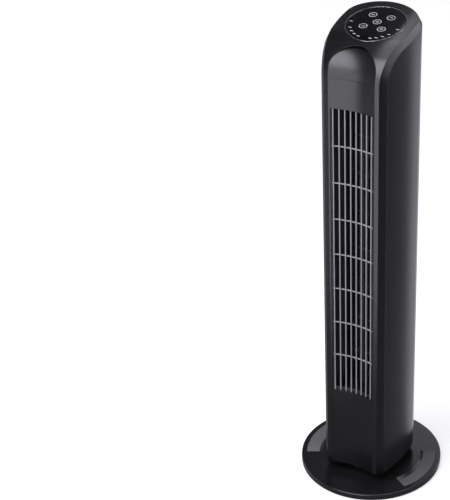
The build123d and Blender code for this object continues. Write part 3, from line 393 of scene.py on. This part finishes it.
SYMBOLS = {
    "power": stroke(arc((0, 0), 0.0023, 125, 415), LINE) + stroke([(0, 0.0004), (0, 0.0031)], LINE),
    "speed": stroke([(-0.0020, -0.0017), (-0.0020, -0.0003)], STEP_WIDTH)
    + stroke([(0, -0.0017), (0, 0.0009)], STEP_WIDTH)
    + stroke([(0.0020, -0.0017), (0.0020, 0.0021)], STEP_WIDTH),
    "timer": stroke(arc((0, 0), 0.0025, 0, 345), LINE, closed=True)
    + stroke([(0, 0.0017), (0, 0), (0.0014, 0)], LINE),
    "mode": stroke(wave(WAVE_RISE), LINE) + stroke(wave(-WAVE_RISE), LINE),
    "swing": stroke(arc((0, -0.003), 0.0039, 50, 130), LINE)
    + stroke([(-0.0012, 0.0014), (-0.0026, 0.0001), (-0.0008, -0.0005)], LINE)
    + stroke([(0.0008, -0.0005), (0.0026, 0.0001), (0.0012, 0.0014)], LINE),
}
RING_RADIUS = 0.0068
RING_WIDTH = 0.0009
ring = stroke(arc((0, 0), RING_RADIUS, 0, 355, 71), RING_WIDTH, closed=True)
for word, place in KEY_PLACES.items():
    printed("ring_" + word, ring, place, on_key, "key_" + word)
    printed("symbol_" + word, SYMBOLS[word], place, on_key, "key_" + word)

# A plain dash over each indicator lamp.
LAMP_OVAL = (0.0442, 0.0519)
LAMP_TURNS = (14.4, 27.0, 40.2, 54.4, 77.4)
DASH_LENGTH = 0.0056
DASH_WIDTH = 0.0014
dash = stroke([(-DASH_LENGTH / 2, 0), (0, 0), (DASH_LENGTH / 2, 0)], DASH_WIDTH)
for number, turn_deg in enumerate(LAMP_TURNS):
    across = LAMP_OVAL[0] * math.sin(math.radians(turn_deg))
    along = -LAMP_OVAL[1] * math.cos(math.radians(turn_deg))
    printed(f"dash_left_{number + 1}", dash, (-across, along), on_cap, "tower")
    printed(f"dash_right_{number + 1}", dash, (across, along), on_cap, "tower")


# ------------------------------------------------------------------ stage
def stage_sheet(name, corners, material):
    """Flat four-cornered sheet that belongs to the studio."""
    mesh = bmesh.new()
    mesh.faces.new([mesh.verts.new(corner) for corner in corners])
    data = bpy.data.meshes.new(name)
    mesh.to_mesh(data)
    mesh.free()
    sheet = bpy.data.objects.new(name, data)
    bpy.context.scene.collection.objects.link(sheet)
    data.materials.append(material)
    return sheet


STUDIO_TINT = (0.97, 0.96, 1.05, 1)


def card(name, corners, radiance):
    """Glowing card seen only in reflections."""
    mat, tree, shader = new_material(name + "_glow")
    shader.inputs["Base Color"].default_value = (0, 0, 0, 1)
    shader.inputs["Specular IOR Level"].default_value = 0.0
    shader.inputs["Emission Color"].default_value = STUDIO_TINT
    shader.inputs["Emission Strength"].default_value = radiance
    mat.cycles.emission_sampling = "NONE"
    sheet = stage_sheet(name, corners, mat)
    sheet.visible_camera = False
    sheet.visible_diffuse = False
    sheet.visible_shadow = False
    return sheet


def upright_card(name, y, x_range, z_range, radiance):
    """Glowing card square to the Y axis."""
    return card(name, [
        (x_range[0], y, z_range[0]), (x_range[1], y, z_range[0]),
        (x_range[1], y, z_range[1]), (x_range[0], y, z_range[1]),
    ], radiance)


def fade(tree, value, start, end, low):
    """Smooth step of a coordinate, from low at start to one at end."""
    step = tree.nodes.new("ShaderNodeMapRange")
    step.interpolation_type = "SMOOTHSTEP"
    step.inputs["From Min"].default_value = start
    step.inputs["From Max"].default_value = end
    step.inputs["To Min"].default_value = low
    step.inputs["To Max"].default_value = 1.0
    tree.links.new(value, step.inputs["Value"])
    return step.outputs["Result"]


def grade(sheet, x_fade, z_fade):
    """Lets a card's glow fade along X and along Z; each fade is (start, end, low)."""
    tree = sheet.data.materials[0].node_tree
    strength = principled(tree).inputs["Emission Strength"]
    x, _, z = axes(tree, tree.nodes.new("ShaderNodeTexCoord"))
    glow = product(tree, fade(tree, x, *x_fade), fade(tree, z, *z_fade), strength.default_value)
    tree.links.new(glow, strength)


def softbox(name, spot, size, radiance, target):
    """Soft rectangular light of a given brightness that stays out of reflections."""
    data = bpy.data.lights.new(name, "AREA")
    data.shape = "RECTANGLE"
    data.size, data.size_y = size
    data.energy = radiance * math.pi * size[0] * size[1]
    lamp = bpy.data.objects.new(name, data)
    bpy.context.scene.collection.objects.link(lamp)
    lamp.location = spot
    lamp.rotation_euler = (Vector(target) - Vector(spot)).to_track_quat("-Z", "Y").to_euler()
    lamp.visible_glossy = False
    lamp.visible_camera = False
    return lamp


FLOOR_HALF = 6.0
FLOOR_GLOW = 0.54
WORLD_GLOW = 0.38
floor_mat = plastic("floor_paint", (0.88, 0.88, 0.88), (0.9, 0.9, 0.9), rough=0.7, edge=0.0)
floor_shader = principled(floor_mat.node_tree)
floor_shader.inputs["Emission Color"].default_value = (1, 1, 1, 1)
floor_shader.inputs["Emission Strength"].default_value = FLOOR_GLOW
floor = stage_sheet("floor", [
    (-FLOOR_HALF, -FLOOR_HALF, 0), (FLOOR_HALF, -FLOOR_HALF, 0),
    (FLOOR_HALF, FLOOR_HALF, 0), (-FLOOR_HALF, FLOOR_HALF, 0),
], floor_mat)
floor.visible_glossy = False

world = bpy.data.worlds.new("world")
bpy.context.scene.world = world
world.use_nodes = True
backdrop = world.node_tree.nodes["Background"]
backdrop.inputs["Color"].default_value = STUDIO_TINT
backdrop.inputs["Strength"].default_value = WORLD_GLOW
softbox("key_soft", (-1.0, -1.6, 3.2), (2.6, 2.6), 3.2, (0, 0, 0.3))

upright_card("front_low", -1.2, (-0.75, 0.8), (-0.33, 0.9), 5.5)
front_high = upright_card("front_high", -1.2, (-0.85, 0.9), (0.9, 2.8), 13.0)
grade(front_high, (-0.85, -0.35, 0.0), (0.9, 1.35, 0.42))
upright_card("back_low", 1.7, (-1.3, 0.95), (-1.3, 0.2), 1.2)
upright_card("back_high", 1.75, (-0.83, 0.4), (0.7, 1.5), 2.2)
card("left_side", [(-1.3, -1.2, -0.6), (-1.3, 0.2, -0.6), (-1.3, 0.2, 0.6), (-1.3, -1.2, 0.6)], 1.6)
card("left_shade", [(-1.5, 0.5, 1.2), (-1.5, 2.6, 1.2), (-1.5, 2.6, 4.8), (-1.5, 0.5, 4.8)], 0.16)
card("overhead", [(-0.25, -0.6, 2.0), (1.2, -0.6, 2.0), (1.2, 1.0, 2.0), (-0.25, 1.0, 2.0)], 5.5)
card("right_rim", [(1.6, 0.1, 0.45), (0.8, 1.9, 0.45), (0.8, 1.9, 1.5), (1.6, 0.1, 1.5)], 3.0)

bpy.context.scene.view_settings.view_transform = "Standard"
